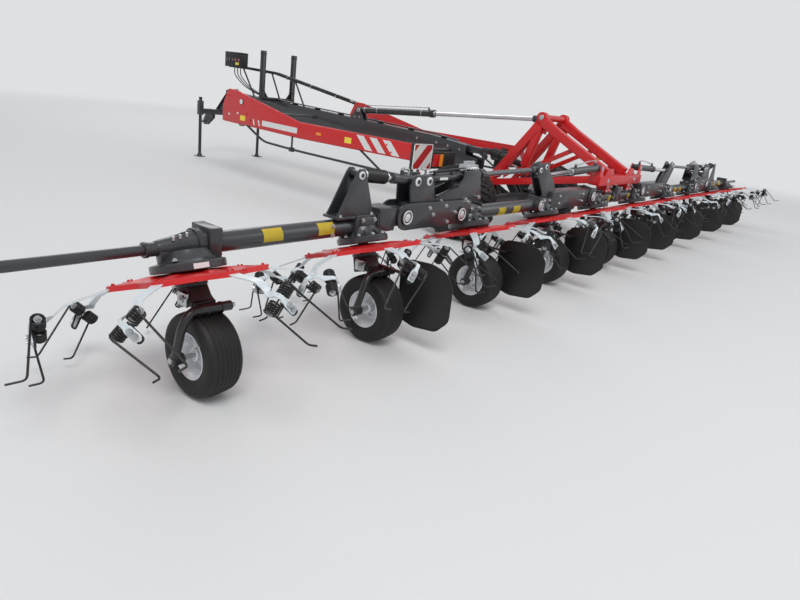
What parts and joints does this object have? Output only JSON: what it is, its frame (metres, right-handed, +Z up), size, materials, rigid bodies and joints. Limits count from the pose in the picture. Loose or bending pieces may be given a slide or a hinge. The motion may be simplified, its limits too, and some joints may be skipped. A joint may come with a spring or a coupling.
{
  "type": "trailed hay tedder",
  "caption": "Trailed hay tedder with a folding row of tined rotors on small wheels, hung behind a drawbar with its own transport axle, lift tower and parking stands.",
  "frame": {"origin": "on the ground, midway along the machine's length and width", "axes": "+X to the right of the way it is towed, +Y forward to the tractor, +Z up"},
  "size_m": [13.2, 8.6838, 1.93],
  "materials": {
    "rotor_red": "gloss red paint on pressed sheet, with galvanised arms and black tines",
    "red_paint": "gloss red paint",
    "grey_paint": "satin dark grey paint",
    "black_steel": "satin black paint",
    "black_plastic": "matte black plastic",
    "galvanised": "hot dip galvanised steel",
    "tyre_rubber": "matte rubber on silver rims",
    "chrome": "polished hard chrome"
  },
  "bodies": {
    "chassis": {"drawbar": "grey_paint", "axle": "grey_paint", "side_guard_left": "red_paint", "side_guard_right": "red_paint", "light_board_left": "grey_paint", "light_board_right": "grey_paint", "rest_posts": "black_steel", "hose_guide": "grey_paint", "coupling_box": "grey_paint"},
    "headstock": {"headstock": "grey_paint"},
    "stand_left": {"stand_left": "galvanised"},
    "stand_right": {"stand_right": "galvanised"},
    "transport_wheel_left": {"transport_wheel_left": "tyre_rubber"},
    "transport_wheel_right": {"transport_wheel_right": "tyre_rubber"},
    "main_barrel": {"main_barrel": "black_steel"},
    "main_rod": {"main_rod": "chrome"},
    "drive_shaft": {"drive_shaft": "black_plastic"},
    "drive_tube": {"drive_tube": "black_steel"},
    "centre_section": {"beam_centre": "grey_paint", "legs_centre": "black_steel", "centre_frame": "red_paint", "lift_tower": "red_paint"},
    "inner_left": {"beam_inner_left": "grey_paint", "legs_inner_left": "black_steel"},
    "outer_left": {"beam_outer_left": "grey_paint", "legs_outer_left": "black_steel"},
    "wing_barrel_left": {"wing_barrel_left": "grey_paint"},
    "wing_rod_left": {"wing_rod_left": "chrome"},
    "strut_barrel_left": {"strut_barrel_left": "grey_paint"},
    "strut_rod_left": {"strut_rod_left": "black_steel"},
    "inner_right": {"beam_inner_right": "grey_paint", "legs_inner_right": "black_steel"},
    "outer_right": {"beam_outer_right": "grey_paint", "legs_outer_right": "black_steel"},
    "wing_barrel_right": {"wing_barrel_right": "grey_paint"},
    "wing_rod_right": {"wing_rod_right": "chrome"},
    "strut_barrel_right": {"strut_barrel_right": "grey_paint"},
    "strut_rod_right": {"strut_rod_right": "black_steel"},
    "rotor_1": {"rotor_1": "rotor_red"},
    "rotor_wheel_1": {"rotor_wheel_1": "tyre_rubber"},
    "rotor_2": {"rotor_2": "rotor_red"},
    "rotor_wheel_2": {"rotor_wheel_2": "tyre_rubber"},
    "rotor_3": {"rotor_3": "rotor_red"},
    "rotor_wheel_3": {"rotor_wheel_3": "tyre_rubber"},
    "rotor_4": {"rotor_4": "rotor_red"},
    "rotor_wheel_4": {"rotor_wheel_4": "tyre_rubber"},
    "rotor_5": {"rotor_5": "rotor_red"},
    "rotor_wheel_5": {"rotor_wheel_5": "tyre_rubber"},
    "rotor_6": {"rotor_6": "rotor_red"},
    "rotor_wheel_6": {"rotor_wheel_6": "tyre_rubber"},
    "rotor_7": {"rotor_7": "rotor_red"},
    "rotor_wheel_7": {"rotor_wheel_7": "tyre_rubber"},
    "rotor_8": {"rotor_8": "rotor_red"},
    "rotor_wheel_8": {"rotor_wheel_8": "tyre_rubber"},
    "rotor_9": {"rotor_9": "rotor_red"},
    "rotor_wheel_9": {"rotor_wheel_9": "tyre_rubber"},
    "rotor_10": {"rotor_10": "rotor_red"},
    "rotor_wheel_10": {"rotor_wheel_10": "tyre_rubber"}
  },
  "joints": [
    {"name": "headstock_yaw", "type": "hinge", "parent": "chassis", "child": "headstock", "pos_m": [0, 3.93, 1.08], "axis": [0, 0, 1], "range_deg": [-60, 60]},
    {"name": "stand_left_lift", "type": "slide", "parent": "headstock", "child": "stand_left", "axis": [0, 0, 1], "range_m": [0, 0.35]},
    {"name": "transport_wheel_left_spin", "type": "hinge", "parent": "chassis", "child": "transport_wheel_left", "pos_m": [-1.15, -2.02, 0.43], "axis": [1, 0, 0], "continuous": true},
    {"name": "stand_right_lift", "type": "slide", "parent": "headstock", "child": "stand_right", "axis": [0, 0, 1], "range_m": [0, 0.35]},
    {"name": "transport_wheel_right_spin", "type": "hinge", "parent": "chassis", "child": "transport_wheel_right", "pos_m": [1.15, -2.02, 0.43], "axis": [1, 0, 0], "continuous": true},
    {"name": "tower_lift", "type": "hinge", "parent": "chassis", "child": "centre_section", "pos_m": [0, -1.88, 0.6], "axis": [-1, 0, 0], "range_deg": [0, 85]},
    {"name": "main_pitch", "type": "hinge", "parent": "chassis", "child": "main_barrel", "pos_m": [0, 0.77, 1.23], "axis": [-1, 0, 0], "range_deg": [-7.6, 0.5]},
    {"name": "main_stroke", "type": "slide", "parent": "main_barrel", "child": "main_rod", "axis": [0, -0.9971, 0.0767], "range_m": [-1.3129, 0.005]},
    {"name": "drive_pitch", "type": "hinge", "parent": "chassis", "child": "drive_shaft", "pos_m": [0, -1.64, 0.97], "axis": [-1, 0, 0], "range_deg": [-0.5, 85.14]},
    {"name": "drive_stroke", "type": "slide", "parent": "drive_shaft", "child": "drive_tube", "axis": [0, -0.9845, -0.1755], "range_m": [-0.6059, 0.005]},
    {"name": "inner_left_fold", "type": "hinge", "parent": "centre_section", "child": "inner_left", "pos_m": [-0.8, -3.3876, 0.765], "axis": [0, 1, 0], "range_deg": [-6, 90]},
    {"name": "outer_left_fold", "type": "hinge", "parent": "inner_left", "child": "outer_left", "pos_m": [-4, -3.3876, 0.765], "axis": [0, 1, 0], "range_deg": [-6, 6]},
    {"name": "wing_left_pitch", "type": "hinge", "parent": "centre_section", "child": "wing_barrel_left", "pos_m": [-0.62, -3.3876, 1.05], "axis": [0, 1, 0], "range_deg": [-7, 98.08]},
    {"name": "wing_left_stroke", "type": "slide", "parent": "wing_barrel_left", "child": "wing_rod_left", "axis": [-0.9997, 0, 0.0226], "range_m": [-0.4599, 0.0353]},
    {"name": "strut_left_pitch", "type": "hinge", "parent": "inner_left", "child": "strut_barrel_left", "pos_m": [-3.9, -3.3876, 1], "axis": [0, 1, 0], "range_deg": [-5.66, 5.66]},
    {"name": "strut_left_stroke", "type": "slide", "parent": "strut_barrel_left", "child": "strut_rod_left", "axis": [-0.9959, 0, 0.0905], "range_m": [-0.0284, 0.0284]},
    {"name": "inner_right_fold", "type": "hinge", "parent": "centre_section", "child": "inner_right", "pos_m": [0.8, -3.3876, 0.765], "axis": [0, -1, 0], "range_deg": [-6, 90]},
    {"name": "outer_right_fold", "type": "hinge", "parent": "inner_right", "child": "outer_right", "pos_m": [4, -3.3876, 0.765], "axis": [0, -1, 0], "range_deg": [-6, 6]},
    {"name": "wing_right_pitch", "type": "hinge", "parent": "centre_section", "child": "wing_barrel_right", "pos_m": [0.62, -3.3876, 1.05], "axis": [0, -1, 0], "range_deg": [-7, 98.08]},
    {"name": "wing_right_stroke", "type": "slide", "parent": "wing_barrel_right", "child": "wing_rod_right", "axis": [0.9997, 0, 0.0226], "range_m": [-0.4599, 0.0353]},
    {"name": "strut_right_pitch", "type": "hinge", "parent": "inner_right", "child": "strut_barrel_right", "pos_m": [3.9, -3.3876, 1], "axis": [0, -1, 0], "range_deg": [-5.66, 5.66]},
    {"name": "strut_right_stroke", "type": "slide", "parent": "strut_barrel_right", "child": "strut_rod_right", "axis": [0.9959, 0, 0.0905], "range_m": [-0.0284, 0.0284]},
    {"name": "rotor_1_spin", "type": "hinge", "parent": "outer_left", "child": "rotor_1", "pos_m": [-5.625, -3.4456, 0.5917], "axis": [0, 0.3173, 0.9483], "continuous": true},
    {"name": "rotor_2_spin", "type": "hinge", "parent": "outer_left", "child": "rotor_2", "pos_m": [-4.375, -3.4456, 0.5917], "axis": [0, 0.3173, 0.9483], "continuous": true},
    {"name": "rotor_3_spin", "type": "hinge", "parent": "inner_left", "child": "rotor_3", "pos_m": [-3.125, -3.4456, 0.5917], "axis": [0, 0.3173, 0.9483], "continuous": true},
    {"name": "rotor_4_spin", "type": "hinge", "parent": "inner_left", "child": "rotor_4", "pos_m": [-1.875, -3.4456, 0.5917], "axis": [0, 0.3173, 0.9483], "continuous": true},
    {"name": "rotor_5_spin", "type": "hinge", "parent": "centre_section", "child": "rotor_5", "pos_m": [-0.625, -3.4456, 0.5917], "axis": [0, 0.3173, 0.9483], "continuous": true},
    {"name": "rotor_6_spin", "type": "hinge", "parent": "centre_section", "child": "rotor_6", "pos_m": [0.625, -3.4456, 0.5917], "axis": [0, 0.3173, 0.9483], "continuous": true},
    {"name": "rotor_7_spin", "type": "hinge", "parent": "inner_right", "child": "rotor_7", "pos_m": [1.875, -3.4456, 0.5917], "axis": [0, 0.3173, 0.9483], "continuous": true},
    {"name": "rotor_8_spin", "type": "hinge", "parent": "inner_right", "child": "rotor_8", "pos_m": [3.125, -3.4456, 0.5917], "axis": [0, 0.3173, 0.9483], "continuous": true},
    {"name": "rotor_9_spin", "type": "hinge", "parent": "outer_right", "child": "rotor_9", "pos_m": [4.375, -3.4456, 0.5917], "axis": [0, 0.3173, 0.9483], "continuous": true},
    {"name": "rotor_10_spin", "type": "hinge", "parent": "outer_right", "child": "rotor_10", "pos_m": [5.625, -3.4456, 0.5917], "axis": [0, 0.3173, 0.9483], "continuous": true},
    {"name": "rotor_wheel_1_spin", "type": "hinge", "parent": "outer_left", "child": "rotor_wheel_1", "pos_m": [-5.625, -3.57, 0.22], "axis": [1, 0, 0], "continuous": true},
    {"name": "rotor_wheel_2_spin", "type": "hinge", "parent": "outer_left", "child": "rotor_wheel_2", "pos_m": [-4.375, -3.57, 0.22], "axis": [1, 0, 0], "continuous": true},
    {"name": "rotor_wheel_3_spin", "type": "hinge", "parent": "inner_left", "child": "rotor_wheel_3", "pos_m": [-3.125, -3.57, 0.22], "axis": [1, 0, 0], "continuous": true},
    {"name": "rotor_wheel_4_spin", "type": "hinge", "parent": "inner_left", "child": "rotor_wheel_4", "pos_m": [-1.875, -3.57, 0.22], "axis": [1, 0, 0], "continuous": true},
    {"name": "rotor_wheel_5_spin", "type": "hinge", "parent": "centre_section", "child": "rotor_wheel_5", "pos_m": [-0.625, -3.57, 0.22], "axis": [1, 0, 0], "continuous": true},
    {"name": "rotor_wheel_6_spin", "type": "hinge", "parent": "centre_section", "child": "rotor_wheel_6", "pos_m": [0.625, -3.57, 0.22], "axis": [1, 0, 0], "continuous": true},
    {"name": "rotor_wheel_7_spin", "type": "hinge", "parent": "inner_right", "child": "rotor_wheel_7", "pos_m": [1.875, -3.57, 0.22], "axis": [1, 0, 0], "continuous": true},
    {"name": "rotor_wheel_8_spin", "type": "hinge", "parent": "inner_right", "child": "rotor_wheel_8", "pos_m": [3.125, -3.57, 0.22], "axis": [1, 0, 0], "continuous": true},
    {"name": "rotor_wheel_9_spin", "type": "hinge", "parent": "outer_right", "child": "rotor_wheel_9", "pos_m": [4.375, -3.57, 0.22], "axis": [1, 0, 0], "continuous": true},
    {"name": "rotor_wheel_10_spin", "type": "hinge", "parent": "outer_right", "child": "rotor_wheel_10", "pos_m": [5.625, -3.57, 0.22], "axis": [1, 0, 0], "continuous": true}
  ],
  "couplings": [
    {"joint": "main_pitch", "follows": "tower_lift", "ratio": -0.08349},
    {"joint": "main_stroke", "follows": "tower_lift", "m_per_rad": -0.87826},
    {"joint": "drive_pitch", "follows": "tower_lift", "ratio": 0.99573},
    {"joint": "drive_stroke", "follows": "tower_lift", "m_per_rad": -0.40164},
    {"joint": "wing_left_pitch", "follows": "inner_left_fold", "ratio": 1.0842},
    {"joint": "wing_left_stroke", "follows": "inner_left_fold", "m_per_rad": -0.28958},
    {"joint": "strut_left_pitch", "follows": "outer_left_fold", "ratio": 0.85912},
    {"joint": "strut_left_stroke", "follows": "outer_left_fold", "m_per_rad": -0.24281},
    {"joint": "wing_right_pitch", "follows": "inner_right_fold", "ratio": 1.0842},
    {"joint": "wing_right_stroke", "follows": "inner_right_fold", "m_per_rad": -0.28958},
    {"joint": "strut_right_pitch", "follows": "outer_right_fold", "ratio": 0.85912},
    {"joint": "strut_right_stroke", "follows": "outer_right_fold", "m_per_rad": -0.24281},
    {"joint": "rotor_2_spin", "follows": "rotor_1_spin", "ratio": -1},
    {"joint": "rotor_3_spin", "follows": "rotor_1_spin", "ratio": 1},
    {"joint": "rotor_4_spin", "follows": "rotor_1_spin", "ratio": -1},
    {"joint": "rotor_5_spin", "follows": "rotor_1_spin", "ratio": 1},
    {"joint": "rotor_6_spin", "follows": "rotor_1_spin", "ratio": -1},
    {"joint": "rotor_7_spin", "follows": "rotor_1_spin", "ratio": 1},
    {"joint": "rotor_8_spin", "follows": "rotor_1_spin", "ratio": -1},
    {"joint": "rotor_9_spin", "follows": "rotor_1_spin", "ratio": 1},
    {"joint": "rotor_10_spin", "follows": "rotor_1_spin", "ratio": -1}
  ]
}
